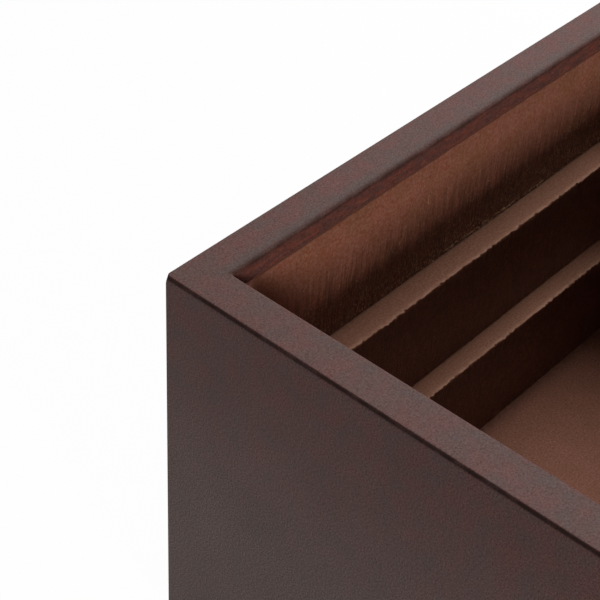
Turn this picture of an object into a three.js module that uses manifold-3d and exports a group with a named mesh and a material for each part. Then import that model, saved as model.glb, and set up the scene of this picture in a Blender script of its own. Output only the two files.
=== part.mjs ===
// A large rectangular planter: a moulded outer shell with a flat rim, and a stepped resin tub inside it.
// Millimetres, +Z up, length along X. The origin is on the ground under the middle of the planter.

import * as THREE from 'three';
import { mergeVertices } from 'three/addons/utils/BufferGeometryUtils.js';
import Module from 'manifold-3d';

const wasm = await Module();
wasm.setup();

// Overall plan size, and the clearance between pieces that touch
const LENGTH = 1000;
const WIDTH = 600;
const GAP = 0.3;

// Outer shell
const SHELL_WALL = 10;
const SHELL_CORNER_RADIUS = 3;
const SHELL_INNER_RADIUS = 6;
const EDGE_RADIUS = 2.5;
const RIM_WIDTH = 50;
const RIM_PLATE = 10;
const LIP_DROP = 25;
const LIP_WALL = 10;
const OPENING_CORNER_RADIUS = 3;
const FLANGE_WIDTH = 25;
const FLANGE_PLATE = 8;
const SKIRT_DROP = 2;

// Stepped tub: heights of its three risers, counted down from the rim's top, and its ledges
const UPPER_RISER = 200;
const MIDDLE_RISER = 153.5;
const LOWER_RISER = 159.5;
const UPPER_LEDGE = 36;
const LOWER_LEDGE = 30;
const TUB_SETBACK = 2;
const TUB_WALL = 7;
const TUB_FLOOR = 8;
const TUB_TOP_CORNER = 55;
const TUB_STEP_CORNER = 30;
const TUB_FILLET = 6;
const WEB_PLATE = 6;
const WEB_OUTER_RADIUS = 8;

// Base panel, bearers and feet
const BASE_PLATE = 10;
const BEARER_HEIGHT = 16.4;
const BEARER_WIDTH = 40;
const BEARER_END_MARGIN = 15;
const BEARER_EDGE = 2;
const FOOT_HEIGHT = 12;
const FOOT_RADIUS = 30;
const FOOT_TAPER = 2;
const FOOT_INSET = 75;
const FOOT_SOCKET_DEPTH = 5;
const FOOT_SOCKET_RADIUS = 7;

// Screws
const SHANK_RADIUS = 2.5;
const HEAD_RADIUS = 5;
const HEAD_HEIGHT = 3;
const HEAD_DOME = 0.6;
const POINT_LENGTH = 1.5;
const SCREW_END_COVER = 1;
const PANEL_SCREW_END_DISTANCE = 120;

// Drains
const DRAIN_SPACING = 400;
const TUBE_BORE_RADIUS = 12;
const TUBE_WALL = 4;
const TUBE_FLANGE_RADIUS = 26;
const TUBE_FLANGE_PLATE = 3;
const TUBE_MOUTH_FLARE = 2;
const TUBE_MOUTH_DEPTH = 6;
const PLUG_DEPTH = 14;
const PLUG_TAPER = 0.5;
const PLUG_CAP_RADIUS = 18;
const PLUG_CAP_HEIGHT = 3;
const GRIP_WIDTH = 20;
const GRIP_THICKNESS = 5;
const GRIP_HEIGHT = 13;

// Smoothness: straight runs in half of a corner, in a rounded edge, round a turned piece and round a screw
const ARC_STEPS = 3;
const EDGE_STEPS = 3;
const ROUND_STEPS = 24;
const SCREW_STEPS = 12;

// Heights, worked out upwards from the ground
const BASE_BOTTOM = FOOT_HEIGHT;
const BASE_TOP = BASE_BOTTOM + BASE_PLATE;
const BEARER_BOTTOM = BASE_TOP + GAP;
const TUB_BOTTOM = BEARER_BOTTOM + BEARER_HEIGHT + GAP;
const FLOOR_TOP = TUB_BOTTOM + TUB_FLOOR;
const LOWER_LEDGE_TOP = FLOOR_TOP + LOWER_RISER;
const UPPER_LEDGE_TOP = LOWER_LEDGE_TOP + MIDDLE_RISER;
const HEIGHT = UPPER_LEDGE_TOP + UPPER_RISER;
const LIP_BOTTOM = HEIGHT - LIP_DROP;
const TUB_TOP = LIP_BOTTOM - GAP;
const SHELL_BOTTOM = BASE_BOTTOM - SKIRT_DROP;
const FLANGE_BOTTOM = BASE_TOP + GAP;
const FLANGE_TOP = FLANGE_BOTTOM + FLANGE_PLATE;

// Distances inwards from the shell's outside faces
const TUB_INSET = RIM_WIDTH - TUB_SETBACK;
const MIDDLE_INSET = TUB_INSET + UPPER_LEDGE;
const LOWER_INSET = MIDDLE_INSET + LOWER_LEDGE;

// How far a cutting solid runs past the face that it opens
const OVERCUT = 20;

const shellFinish = new THREE.MeshStandardMaterial({ color: 0x5f4944, roughness: 0.62, metalness: 0 });
const tubResin = new THREE.MeshStandardMaterial({ color: 0x5a3a2c, roughness: 0.38, metalness: 0 });
const darkPanel = new THREE.MeshStandardMaterial({ color: 0x2b2724, roughness: 0.8, metalness: 0 });
const blackRubber = new THREE.MeshStandardMaterial({ color: 0x161616, roughness: 0.85, metalness: 0 });
const greyTube = new THREE.MeshStandardMaterial({ color: 0x3a3a3a, roughness: 0.55, metalness: 0 });
const screwSteel = new THREE.MeshStandardMaterial({ color: 0x9a9a98, roughness: 0.35, metalness: 1 });

// Closed three.js geometry to a solid that can be cut and joined
function toSolid(geometry) {
  const bare = geometry.clone();
  bare.deleteAttribute('normal');
  bare.deleteAttribute('uv');
  const merged = mergeVertices(bare, 1e-4);
  const vertProperties = new Float32Array(merged.attributes.position.array);
  const triVerts = new Uint32Array(merged.index.array);
  return new wasm.Manifold(new wasm.Mesh({ numProp: 3, vertProperties, triVerts }));
}

// Solid back to three.js geometry, with a flat normal on each face
function toGeometry(solid) {
  const mesh = solid.getMesh();
  const indexed = new THREE.BufferGeometry();
  indexed.setAttribute('position', new THREE.BufferAttribute(new Float32Array(mesh.vertProperties), 3));
  indexed.setIndex(new THREE.BufferAttribute(new Uint32Array(mesh.triVerts), 1));
  const geometry = indexed.toNonIndexed();
  geometry.computeVertexNormals();
  return geometry;
}

// Traces a rectangle with round corners, centred on the origin
function traceRectangle(path, halfX, halfY, radius) {
  const x = halfX - radius;
  const y = halfY - radius;
  path.moveTo(-x, -halfY);
  path.lineTo(x, -halfY);
  path.absarc(x, -y, radius, -Math.PI / 2, 0, false);
  path.lineTo(halfX, y);
  path.absarc(x, y, radius, 0, Math.PI / 2, false);
  path.lineTo(-x, halfY);
  path.absarc(-x, y, radius, Math.PI / 2, Math.PI, false);
  path.lineTo(-halfX, -y);
  path.absarc(-x, -y, radius, Math.PI, Math.PI * 1.5, false);
  return path;
}

// The planter's outline in plan, moved inwards by an inset
function footprint(inset, radius) {
  return traceRectangle(new THREE.Shape(), LENGTH / 2 - inset, WIDTH / 2 - inset, radius);
}

// The same outline as a hole in another shape
function footprintHole(inset, radius) {
  return traceRectangle(new THREE.Path(), LENGTH / 2 - inset, WIDTH / 2 - inset, radius);
}

// Upright block on an outline, with its horizontal edges rounded where a radius is given
function block(shape, bottom, top, edge = 0) {
  const geometry = new THREE.ExtrudeGeometry(shape, {
    depth: top - bottom - 2 * edge,
    curveSegments: ARC_STEPS,
    bevelEnabled: edge > 0,
    bevelSize: edge,
    bevelThickness: edge,
    bevelOffset: -edge,
    bevelSegments: EDGE_STEPS,
  });
  return geometry.translate(0, 0, bottom + edge);
}

// Upright round cutter at a place in plan
function drill(place, radius, bottom, top, steps) {
  const geometry = new THREE.CylinderGeometry(radius, radius, top - bottom, steps);
  geometry.rotateX(Math.PI / 2);
  return toSolid(geometry.translate(place.x, place.y, (bottom + top) / 2));
}

// Turned piece from a list of radius and height pairs
function turned(pairs, steps) {
  const profile = pairs.map(([radius, height]) => new THREE.Vector2(radius, height));
  const geometry = new THREE.LatheGeometry(profile, steps);
  return geometry.rotateX(Math.PI / 2);
}

// Plan places of what repeats
const cornerSigns = [[-1, 1], [1, 1], [-1, -1], [1, -1]];
const footPlaces = cornerSigns.map(([sx, sy]) => ({
  x: sx * (LENGTH / 2 - FOOT_INSET),
  y: sy * (WIDTH / 2 - FOOT_INSET),
}));
const drainPlaces = [-1, 1].map((side) => ({ x: side * DRAIN_SPACING / 2, y: 0 }));

const flangeMiddle = SHELL_WALL + FLANGE_WIDTH / 2;
const screwX = LENGTH / 2 - PANEL_SCREW_END_DISTANCE;
const screwSideY = WIDTH / 2 - flangeMiddle;
const screwEndX = LENGTH / 2 - flangeMiddle;
const panelScrewPlaces = [
  ...cornerSigns.map(([sx, sy]) => ({ x: sx * screwX, y: sy * screwSideY })),
  { x: 0, y: screwSideY },
  { x: 0, y: -screwSideY },
  { x: -screwEndX, y: 0 },
  { x: screwEndX, y: 0 },
];

// Outer shell: rim, plumb walls, lip under the rim's inner edge and a flange round the open bottom
function outerShell() {
  const outline = footprint(0, SHELL_CORNER_RADIUS);
  outline.holes.push(footprintHole(RIM_WIDTH, OPENING_CORNER_RADIUS));
  let solid = toSolid(block(outline, SHELL_BOTTOM, HEIGHT, EDGE_RADIUS));

  const hollow = footprint(SHELL_WALL, SHELL_INNER_RADIUS);
  solid = solid.subtract(toSolid(block(hollow, FLANGE_TOP, LIP_BOTTOM)));

  const behindLip = footprint(SHELL_WALL, SHELL_INNER_RADIUS);
  behindLip.holes.push(footprintHole(RIM_WIDTH - LIP_WALL, SHELL_INNER_RADIUS));
  solid = solid.subtract(toSolid(block(behindLip, LIP_BOTTOM - GAP, HEIGHT - RIM_PLATE)));

  // What stays of the blank below the hollow is cut into the flange and the seat of the base panel
  const flangeOpening = footprint(SHELL_WALL + FLANGE_WIDTH, SHELL_INNER_RADIUS);
  solid = solid.subtract(toSolid(block(flangeOpening, SHELL_BOTTOM - OVERCUT, FLANGE_TOP + GAP)));
  solid = solid.subtract(toSolid(block(hollow, SHELL_BOTTOM - OVERCUT, FLANGE_BOTTOM)));
  for (const place of panelScrewPlaces) {
    const bottom = FLANGE_BOTTOM - OVERCUT;
    solid = solid.subtract(drill(place, SHANK_RADIUS + GAP, bottom, FLANGE_TOP + OVERCUT, SCREW_STEPS));
  }
  return toGeometry(solid);
}

// Stepped tub: three risers and two ledges down to the floor, with a resin web in each top corner
function innerLiner() {
  const webPlate = footprint(TUB_INSET - TUB_WALL, WEB_OUTER_RADIUS);
  const tiers = [
    { inset: TUB_INSET, radius: TUB_TOP_CORNER, floor: UPPER_LEDGE_TOP, plate: TUB_WALL, top: TUB_TOP },
    { inset: MIDDLE_INSET, radius: TUB_STEP_CORNER, floor: LOWER_LEDGE_TOP, plate: TUB_WALL, top: UPPER_LEDGE_TOP },
    { inset: LOWER_INSET, radius: TUB_STEP_CORNER, floor: FLOOR_TOP, plate: TUB_FLOOR, top: LOWER_LEDGE_TOP },
  ];
  let solid = toSolid(block(webPlate, TUB_TOP - WEB_PLATE, TUB_TOP));
  for (const tier of tiers) {
    const outside = footprint(tier.inset - TUB_WALL, tier.radius + TUB_WALL);
    solid = solid.add(toSolid(block(outside, tier.floor - tier.plate, tier.top)));
  }
  for (const tier of tiers) {
    const inside = footprint(tier.inset, tier.radius);
    solid = solid.subtract(toSolid(block(inside, tier.floor, tier.top + OVERCUT, TUB_FILLET)));
  }
  for (const place of drainPlaces) {
    const hole = TUBE_BORE_RADIUS + TUBE_WALL + GAP;
    const recess = FLOOR_TOP - TUBE_FLANGE_PLATE - GAP;
    solid = solid.subtract(drill(place, hole, TUB_BOTTOM - OVERCUT, FLOOR_TOP + OVERCUT, ROUND_STEPS));
    solid = solid.subtract(drill(place, TUBE_FLANGE_RADIUS + GAP, recess, FLOOR_TOP + OVERCUT, ROUND_STEPS));
  }
  return toGeometry(solid);
}

// Base panel: closes the space between the walls, held up against the shell's flange
function basePanel() {
  const outline = footprint(SHELL_WALL + GAP, SHELL_INNER_RADIUS);
  let solid = toSolid(block(outline, BASE_BOTTOM, BASE_TOP));
  const below = BASE_BOTTOM - OVERCUT;
  const above = BASE_TOP + OVERCUT;
  for (const place of drainPlaces) {
    solid = solid.subtract(drill(place, TUBE_BORE_RADIUS + TUBE_WALL + GAP, below, above, ROUND_STEPS));
  }
  for (const place of [...footPlaces, ...panelScrewPlaces]) {
    solid = solid.subtract(drill(place, SHANK_RADIUS + GAP, below, above, SCREW_STEPS));
  }
  for (const place of panelScrewPlaces) {
    const seat = BASE_BOTTOM + HEAD_HEIGHT + GAP;
    solid = solid.subtract(drill(place, HEAD_RADIUS + GAP, below, seat, SCREW_STEPS));
  }
  return toGeometry(solid);
}

// Floor bearer: a round-edged batten across the planter, under the tub's floor
function floorBearer() {
  const halfLength = WIDTH / 2 - (LOWER_INSET - TUB_WALL) - BEARER_END_MARGIN;
  const outline = traceRectangle(new THREE.Shape(), BEARER_WIDTH / 2, halfLength, 2 * BEARER_EDGE);
  return block(outline, 0, BEARER_HEIGHT, BEARER_EDGE);
}

// Drain tube: a flange let into the tub's floor, and a bore with a flared mouth that seats the plug
function drainTube() {
  const foot = BASE_BOTTOM - FLOOR_TOP;
  const outer = TUBE_BORE_RADIUS + TUBE_WALL;
  return turned([
    [TUBE_BORE_RADIUS, foot],
    [outer, foot],
    [outer, -TUBE_FLANGE_PLATE],
    [TUBE_FLANGE_RADIUS, -TUBE_FLANGE_PLATE],
    [TUBE_FLANGE_RADIUS, 0],
    [TUBE_BORE_RADIUS + TUBE_MOUTH_FLARE, 0],
    [TUBE_BORE_RADIUS, -TUBE_MOUTH_DEPTH],
    [TUBE_BORE_RADIUS, foot],
  ], ROUND_STEPS);
}

// Drain plug: a stopper that fills the tube's mouth, a cap over it and an upright grip
function drainPlug() {
  const stopper = TUBE_BORE_RADIUS - GAP;
  const rim = PLUG_CAP_HEIGHT / 3;
  const body = toSolid(turned([
    [0, -PLUG_DEPTH],
    [stopper - PLUG_TAPER - rim, -PLUG_DEPTH],
    [stopper - PLUG_TAPER, rim - PLUG_DEPTH],
    [stopper, -TUBE_MOUTH_DEPTH],
    [stopper + TUBE_MOUTH_FLARE, 0],
    [stopper + TUBE_MOUTH_FLARE, GAP],
    [PLUG_CAP_RADIUS, GAP],
    [PLUG_CAP_RADIUS, GAP + PLUG_CAP_HEIGHT - rim],
    [PLUG_CAP_RADIUS - rim, GAP + PLUG_CAP_HEIGHT],
    [0, GAP + PLUG_CAP_HEIGHT],
  ], ROUND_STEPS));

  // The grip is an upright tongue with a round top, rooted in the cap
  const root = PLUG_CAP_HEIGHT / 2;
  const half = GRIP_WIDTH / 2;
  const crown = root + GRIP_HEIGHT - half;
  const tongue = new THREE.Shape();
  tongue.moveTo(-half, 0);
  tongue.lineTo(half, 0);
  tongue.lineTo(half, crown);
  tongue.absarc(0, crown, half, 0, Math.PI, false);
  const plate = new THREE.ExtrudeGeometry(tongue, {
    depth: GRIP_THICKNESS,
    curveSegments: 2 * ARC_STEPS,
    bevelEnabled: false,
  });
  plate.translate(0, 0, -GRIP_THICKNESS / 2);
  plate.rotateX(Math.PI / 2);
  plate.translate(0, 0, GAP + root);
  return toGeometry(body.add(toSolid(plate)));
}

// Rubber foot: a slightly tapered disc with a socket for its screw's head
function foot() {
  const hole = SHANK_RADIUS + GAP;
  const top = FOOT_HEIGHT - GAP;
  return turned([
    [hole, FOOT_SOCKET_DEPTH],
    [FOOT_SOCKET_RADIUS, FOOT_SOCKET_DEPTH],
    [FOOT_SOCKET_RADIUS, 0],
    [FOOT_RADIUS - 2 * FOOT_TAPER, 0],
    [FOOT_RADIUS - FOOT_TAPER, FOOT_TAPER],
    [FOOT_RADIUS, top],
    [hole, top],
    [hole, FOOT_SOCKET_DEPTH],
  ], ROUND_STEPS);
}

// Screw with its seat at height 0: the head hangs below, the shank points up
function screw(length) {
  return turned([
    [0, -HEAD_HEIGHT],
    [HEAD_RADIUS - HEAD_DOME, -HEAD_HEIGHT],
    [HEAD_RADIUS, HEAD_DOME - HEAD_HEIGHT],
    [HEAD_RADIUS, 0],
    [SHANK_RADIUS, 0],
    [SHANK_RADIUS, length - POINT_LENGTH],
    [SHANK_RADIUS / 2, length],
    [0, length],
  ], SCREW_STEPS);
}

const planter = new THREE.Group();

function addPiece(name, geometry, material, place = { x: 0, y: 0 }, height = 0) {
  const mesh = new THREE.Mesh(geometry, material);
  mesh.name = name;
  mesh.position.set(place.x, place.y, height);
  planter.add(mesh);
}

addPiece('outer_shell', outerShell(), shellFinish);
addPiece('inner_liner', innerLiner(), tubResin);
addPiece('base_panel', basePanel(), darkPanel);

// Bearers: one in the middle, and one on each side halfway between a drain and the end of the tub's floor
const floorHalfLength = LENGTH / 2 - LOWER_INSET + TUB_WALL;
const outerBearerX = (DRAIN_SPACING / 2 + floorHalfLength) / 2;
[-outerBearerX, 0, outerBearerX].forEach((x, index) => {
  addPiece(`floor_bearer_${index + 1}`, floorBearer(), darkPanel, { x, y: 0 }, BEARER_BOTTOM);
});

drainPlaces.forEach((place, index) => {
  addPiece(`drain_tube_${index + 1}`, drainTube(), greyTube, place, FLOOR_TOP);
  addPiece(`drain_plug_${index + 1}`, drainPlug(), blackRubber, place, FLOOR_TOP);
});

// Foot screws end inside the base panel, panel screws end inside the shell's flange
const footSeat = FOOT_SOCKET_DEPTH - GAP;
const panelSeat = BASE_BOTTOM + HEAD_HEIGHT;
footPlaces.forEach((place, index) => {
  addPiece(`foot_${index + 1}`, foot(), blackRubber, place);
  const length = BASE_TOP - SCREW_END_COVER - footSeat;
  addPiece(`foot_screw_${index + 1}`, screw(length), screwSteel, place, footSeat);
});
panelScrewPlaces.forEach((place, index) => {
  const length = FLANGE_TOP - SCREW_END_COVER - panelSeat;
  addPiece(`panel_screw_${index + 1}`, screw(length), screwSteel, place, panelSeat);
});

export default planter;
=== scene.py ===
# %% [markdown]
# # A rectangular planter with two walls
# The real thing is a trough about a metre long. A stone-coloured shell with a wide flat rim stands
# round a tub of brushed-on resin, and the tub steps inwards twice on its way down.
# The measured model is loaded first. Everything made here is in the same frame, so a piece goes
# exactly where the model says, and nothing has to be fitted by eye. Blender works in metres, and
# sections are drawn in millimetres, as a maker would, and scaled when they become a mesh.

# %% Load the measured model
import math

import bpy
import numpy as np
from mathutils import Matrix, Vector


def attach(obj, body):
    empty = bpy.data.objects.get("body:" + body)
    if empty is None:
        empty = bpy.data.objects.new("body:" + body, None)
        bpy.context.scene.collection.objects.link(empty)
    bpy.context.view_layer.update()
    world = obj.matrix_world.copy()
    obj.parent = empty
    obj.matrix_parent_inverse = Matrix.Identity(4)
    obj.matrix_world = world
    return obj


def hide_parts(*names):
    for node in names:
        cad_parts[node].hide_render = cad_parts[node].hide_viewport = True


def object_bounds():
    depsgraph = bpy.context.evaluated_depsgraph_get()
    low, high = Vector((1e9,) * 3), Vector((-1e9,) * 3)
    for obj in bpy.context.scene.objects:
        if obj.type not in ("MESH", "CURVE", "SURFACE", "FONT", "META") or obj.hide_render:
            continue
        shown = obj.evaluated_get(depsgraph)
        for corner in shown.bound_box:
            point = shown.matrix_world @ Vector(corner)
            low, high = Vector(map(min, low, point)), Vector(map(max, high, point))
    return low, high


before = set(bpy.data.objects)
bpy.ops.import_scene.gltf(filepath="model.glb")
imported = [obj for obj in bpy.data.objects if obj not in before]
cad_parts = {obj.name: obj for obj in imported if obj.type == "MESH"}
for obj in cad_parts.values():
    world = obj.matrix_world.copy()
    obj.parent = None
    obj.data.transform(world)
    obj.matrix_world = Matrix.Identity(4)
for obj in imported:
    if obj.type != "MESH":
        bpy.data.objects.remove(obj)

cad_low, cad_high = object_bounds()
LENGTH, WIDTH, HEIGHT = cad_high - cad_low
MM = 0.001
print(f"The measured model is {LENGTH:.3f} by {WIDTH:.3f} by {HEIGHT:.3f} m.")

# %% [markdown]
# ## The camera
# The photograph looks down over one corner of the rim through a long lens. The camera is placed
# from that corner, and turned by three directions: its right, its up and its line of sight.

# %% Set up the camera
RIM_CORNER = Vector((-LENGTH / 2, WIDTH / 2, HEIGHT))
CAMERA_FROM_CORNER = Vector((-0.9036, -0.93015, 1.06978))
CAMERA_RIGHT = Vector((0.66578, -0.74461, 0.04792))
CAMERA_UP = Vector((0.45857, 0.45899, 0.76095))
CAMERA_SIGHT = Vector((0.58861, 0.48465, -0.64704))
LENS = 95.19
SENSOR = 36.0

camera = bpy.data.objects.new("camera", bpy.data.cameras.new("camera"))
bpy.context.scene.collection.objects.link(camera)
camera.data.lens = LENS
camera.data.sensor_width = SENSOR
camera.matrix_world = Matrix((CAMERA_RIGHT, CAMERA_UP, -CAMERA_SIGHT)).transposed().to_4x4()
camera.location = RIM_CORNER + CAMERA_FROM_CORNER
bpy.context.scene.camera = camera
print(f"The camera stands {CAMERA_FROM_CORNER.length:.2f} m from the rim's corner.")

# %% [markdown]
# ## Wiring node trees from a script
# Geometry Nodes and materials are both trees of nodes, and written out in full they are long. A few
# small helpers keep them readable: one adds a node and feeds its inputs, and the others do sums on
# numbers or on vectors. A feed is either a number or another node's output.

# %% Helpers that wire nodes
def add(tree, kind, feeds=(), out=0, **options):
    """Adds a node, sets its options, feeds its inputs in order or by name, and returns an output."""
    made = tree.nodes.new(kind)
    for option, value in options.items():
        setattr(made, option, value)
    inputs = [socket for socket in made.inputs if socket.enabled]
    if isinstance(feeds, dict):
        pairs = [(next(s for s in inputs if s.name == name), value) for name, value in feeds.items()]
    else:
        pairs = list(zip(inputs, feeds))
    for socket, value in pairs:
        if isinstance(value, bpy.types.NodeSocket):
            tree.links.new(value, socket)
        else:
            socket.default_value = value
    return [socket for socket in made.outputs if socket.enabled][out]


def calc(tree, operation, *values):
    """A sum on numbers."""
    return add(tree, "ShaderNodeMath", values, operation=operation)


def vector(tree, operation, *values):
    """A sum on vectors."""
    return add(tree, "ShaderNodeVectorMath", values, operation=operation)


def carry(tree, operation, values):
    """One sum carried through all the values, two at a time."""
    result = values[0]
    for value in values[1:]:
        result = calc(tree, operation, result, value)
    return result


def total(tree, *values):
    """All the values added up."""
    return carry(tree, "ADD", values)


def product(tree, *values):
    """All the values multiplied."""
    return carry(tree, "MULTIPLY", values)


def highest(tree, *values):
    """The highest of the values."""
    return carry(tree, "MAXIMUM", values)


print("Node helpers are ready.")

# %% [markdown]
# ## Trees with named inputs
# A geometry tree is like a jig: it has named inputs for its sizes, and the same tree serves several
# pieces. A modifier knows these inputs by identifiers and not by names, so a helper looks them up.
# Every tree here ends by making its instances real and setting the material. The result is then
# copied into a plain mesh, and the modifier goes.

# %% Helpers that start, end and run a geometry tree
SOCKET_KINDS = {float: "NodeSocketFloat", int: "NodeSocketInt"}


def start_tree(name, sizes):
    """A new geometry tree with its geometry, its named sizes and its finish as inputs."""
    tree = bpy.data.node_groups.new(name, "GeometryNodeTree")
    face = tree.interface
    face.new_socket(name="Geometry", in_out="INPUT", socket_type="NodeSocketGeometry")
    for size, value in sizes.items():
        socket = face.new_socket(name=size, in_out="INPUT", socket_type=SOCKET_KINDS[type(value)])
        socket.default_value = value
    face.new_socket(name="Finish", in_out="INPUT", socket_type="NodeSocketMaterial")
    face.new_socket(name="Geometry", in_out="OUTPUT", socket_type="NodeSocketGeometry")
    given = {outlet.name: outlet for outlet in tree.nodes.new("NodeGroupInput").outputs}
    return tree, given


def end_tree(tree, geometry, given):
    """Makes instances real, sets the finish and hands the geometry out."""
    real = add(tree, "GeometryNodeRealizeInstances", {"Geometry": geometry})
    finished = add(tree, "GeometryNodeSetMaterial", {"Geometry": real, "Material": given["Finish"]})
    group_output = tree.nodes.new("NodeGroupOutput")
    tree.links.new(finished, group_output.inputs[0])
    return tree


def run_tree(holder, tree, **sizes):
    """Puts the tree on an object as a modifier, with these values for its named inputs."""
    modifier = holder.modifiers.new(tree.name, "NODES")
    modifier.node_group = tree
    for item in tree.interface.items_tree:
        key = item.name.lower().replace(" ", "_")
        if item.in_out == "INPUT" and key in sizes:
            modifier[item.identifier] = sizes[key]


def show(mesh, name):
    """An object at the origin that holds the mesh."""
    made = bpy.data.objects.new(name, mesh)
    bpy.context.scene.collection.objects.link(made)
    return made


def bake(holder, name, crease=35):
    """Copies what the modifiers made into a plain, smooth-shaded mesh, and removes the holder."""
    graph = bpy.context.evaluated_depsgraph_get()
    mesh = bpy.data.meshes.new_from_object(
        holder.evaluated_get(graph), preserve_all_data_layers=True, depsgraph=graph)
    bpy.data.objects.remove(holder)
    mesh.name = name
    mesh.polygons.foreach_set("use_smooth", np.ones(len(mesh.polygons), dtype=bool))
    mesh.set_sharp_from_angle(angle=math.radians(crease))
    print(f"{name}: {len(mesh.vertices)} points, {len(mesh.polygons)} faces")
    return show(mesh, name)


# %% [markdown]
# ## A section swept round a rectangle
# Shell, tub, feet, tubes, plugs and screws all follow one rule: a section carried round a rounded
# rectangle. A turned piece is the case where the rectangle has no size and only its corner is left.
# A Curve to Mesh node can't do this well, because the corner radius changes on the way in. So each
# row of the section carries its own inset, height and corner radius as attributes, and a small tree
# works out where every point goes. The sheet that it starts from only carries these values, and its
# points aren't in their places yet.

# %% Draw a section row by row
def quarter_round(steps, sets_out):
    """Each step of a quarter round that sets out level or upright: how far across and along it is."""
    for step in range(1, steps + 1):
        angle = math.pi / 2 * step / steps
        late, early = 1 - math.cos(angle), math.sin(angle)
        across, along = (early, late) if sets_out == "level" else (late, early)
        yield step, across, along


class Section:
    """A section as rows, in millimetres: inset from the outside, height and corner radius."""

    def __init__(self, inset, height, corner):
        self.rows = [(inset, height, corner)]

    def line(self, inset, height, corner, steps=1):
        """Goes straight to a row."""
        start, end = np.array(self.rows[-1]), np.array((inset, height, corner))
        self.rows += [tuple(start + (end - start) * i / steps) for i in range(1, steps + 1)]
        return self

    def round(self, inset, height, corner, sets_out, steps):
        """Goes to a row by a quarter round."""
        inset_0, height_0, corner_0 = self.rows[-1]
        for step, across, along in quarter_round(steps, sets_out):
            self.rows.append((
                inset_0 + (inset - inset_0) * across,
                height_0 + (height - height_0) * along,
                corner_0 + (corner - corner_0) * step / steps))
        return self

    def bow(self, handle, inset, height, corner, steps=4):
        """Goes to a row in a bow that sets out for the handle, a point of inset and height."""
        start, end = np.array(self.rows[-1]), np.array((inset, height, corner))
        middle = np.array((*handle, (start[2] + corner) / 2))
        for share in np.arange(1, steps + 1) / steps:
            row = start * (1 - share) ** 2 + middle * 2 * share * (1 - share) + end * share ** 2
            self.rows.append(tuple(row))
        return self


print("Sections are drawn in lines, quarter rounds and bows.")

# %% Lay the section out as a sheet of points
CORNERS = [(1, 1), (-1, 1), (-1, -1), (1, -1)]


def columns(long_steps, short_steps, corner_steps):
    """For each column: which corner it belongs to, shared between two on a side, and its outward turn."""
    along, turn = [], []
    for index, corner in enumerate(CORNERS):
        following = CORNERS[(index + 1) % 4]
        for step in range(corner_steps + 1):
            angle = math.pi / 2 * (index + step / corner_steps)
            along.append(corner)
            turn.append((math.cos(angle), math.sin(angle)))
        side = long_steps if index % 2 == 0 else short_steps
        for step in range(1, side):
            share = step / side
            along.append(tuple(a + (b - a) * share for a, b in zip(corner, following)))
            turn.append((math.cos(angle), math.sin(angle)))
    return np.array(along, float), np.array(turn, float)


def sheet_of(name, rows, along, turn, weights=None, closed=False, cap=False):
    """A mesh whose points carry the rows' and columns' values. A cap closes the first row."""
    rows = np.array(rows, float) * MM
    row_count, column_count = len(rows), len(along)
    row_of = np.repeat(np.arange(row_count), column_count)
    column_of = np.tile(np.arange(column_count), row_count)
    values = {"along": along[column_of], "turn": turn[column_of], "inset": rows[row_of, 0],
              "height": rows[row_of, 1], "corner": rows[row_of, 2]}
    for key, weight in (weights or {}).items():
        values[key] = weight[row_of] if weight.ndim == 1 else weight[row_of, column_of]
    lower = np.arange(row_count if closed else row_count - 1)[:, None] * column_count
    here = np.arange(column_count)[None, :]
    after = (here + 1) % column_count
    upper = (lower + column_count) % (row_count * column_count)
    quads = np.stack([lower + here, lower + after, upper + after, upper + here], -1).reshape(-1, 4)
    faces = quads.tolist()
    if cap:
        faces.append(list(range(column_count))[::-1])
    mesh = bpy.data.meshes.new(name)
    flat = np.zeros((len(values["inset"]), 3))
    flat[:, :2] = values["along"]
    flat[:, 2] = values["height"]
    mesh.from_pydata(flat.tolist(), [], faces)
    for key, data in values.items():
        if data.ndim == 2:
            data = np.hstack([data, np.zeros((len(data), 1))])
            kind, field = "FLOAT_VECTOR", "vector"
        else:
            kind, field = "FLOAT", "value"
        mesh.attributes.new(key, kind, "POINT").data.foreach_set(field, data.astype(np.float32).ravel())
    return show(mesh, name)


print("A sheet holds one point for each row and column.")

# %% Make the tree that puts every point in place
def named(tree, name, kind="FLOAT"):
    """Reads an attribute of the sheet."""
    return add(tree, "GeometryNodeInputNamedAttribute", {"Name": name}, data_type=kind)


def point(tree, x, y, z):
    """A vector from three numbers."""
    return add(tree, "ShaderNodeCombineXYZ", (x, y, z))


def draw_sweep_tree():
    """Places a sheet's points round a rectangle, and copies the result to a grid of places."""
    tree, given = start_tree("section_round_a_rectangle", {
        "Length": 0.0, "Width": 0.0, "Row Length": 0.0, "Row Width": 0.0, "Per Row": 1, "Rows": 1})
    inset, corner = named(tree, "inset"), named(tree, "corner")
    back = total(tree, inset, corner)
    reach = [calc(tree, "SUBTRACT", product(tree, given[side], 0.5), back) for side in ("Length", "Width")]
    centre = vector(tree, "MULTIPLY", named(tree, "along", "FLOAT_VECTOR"), point(tree, *reach, 0.0))
    outward = vector(tree, "SCALE", named(tree, "turn", "FLOAT_VECTOR"), corner)
    raised = point(tree, 0.0, 0.0, named(tree, "height"))
    place = vector(tree, "ADD", vector(tree, "ADD", centre, outward), raised)
    swept = add(tree, "GeometryNodeSetPosition", {"Geometry": given["Geometry"], "Position": place})
    closed = add(tree, "GeometryNodeMergeByDistance", {"Geometry": swept, "Distance": 1e-6})
    places = add(tree, "GeometryNodeMeshGrid", {
        "Size X": given["Row Length"], "Size Y": given["Row Width"],
        "Vertices X": given["Per Row"], "Vertices Y": given["Rows"]})
    copies = add(tree, "GeometryNodeInstanceOnPoints", {"Points": places, "Instance": closed})
    return end_tree(tree, copies, given)


SWEEP = draw_sweep_tree()
print("The sweeping tree takes a section round, then repeats it on a grid of places.")

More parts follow.
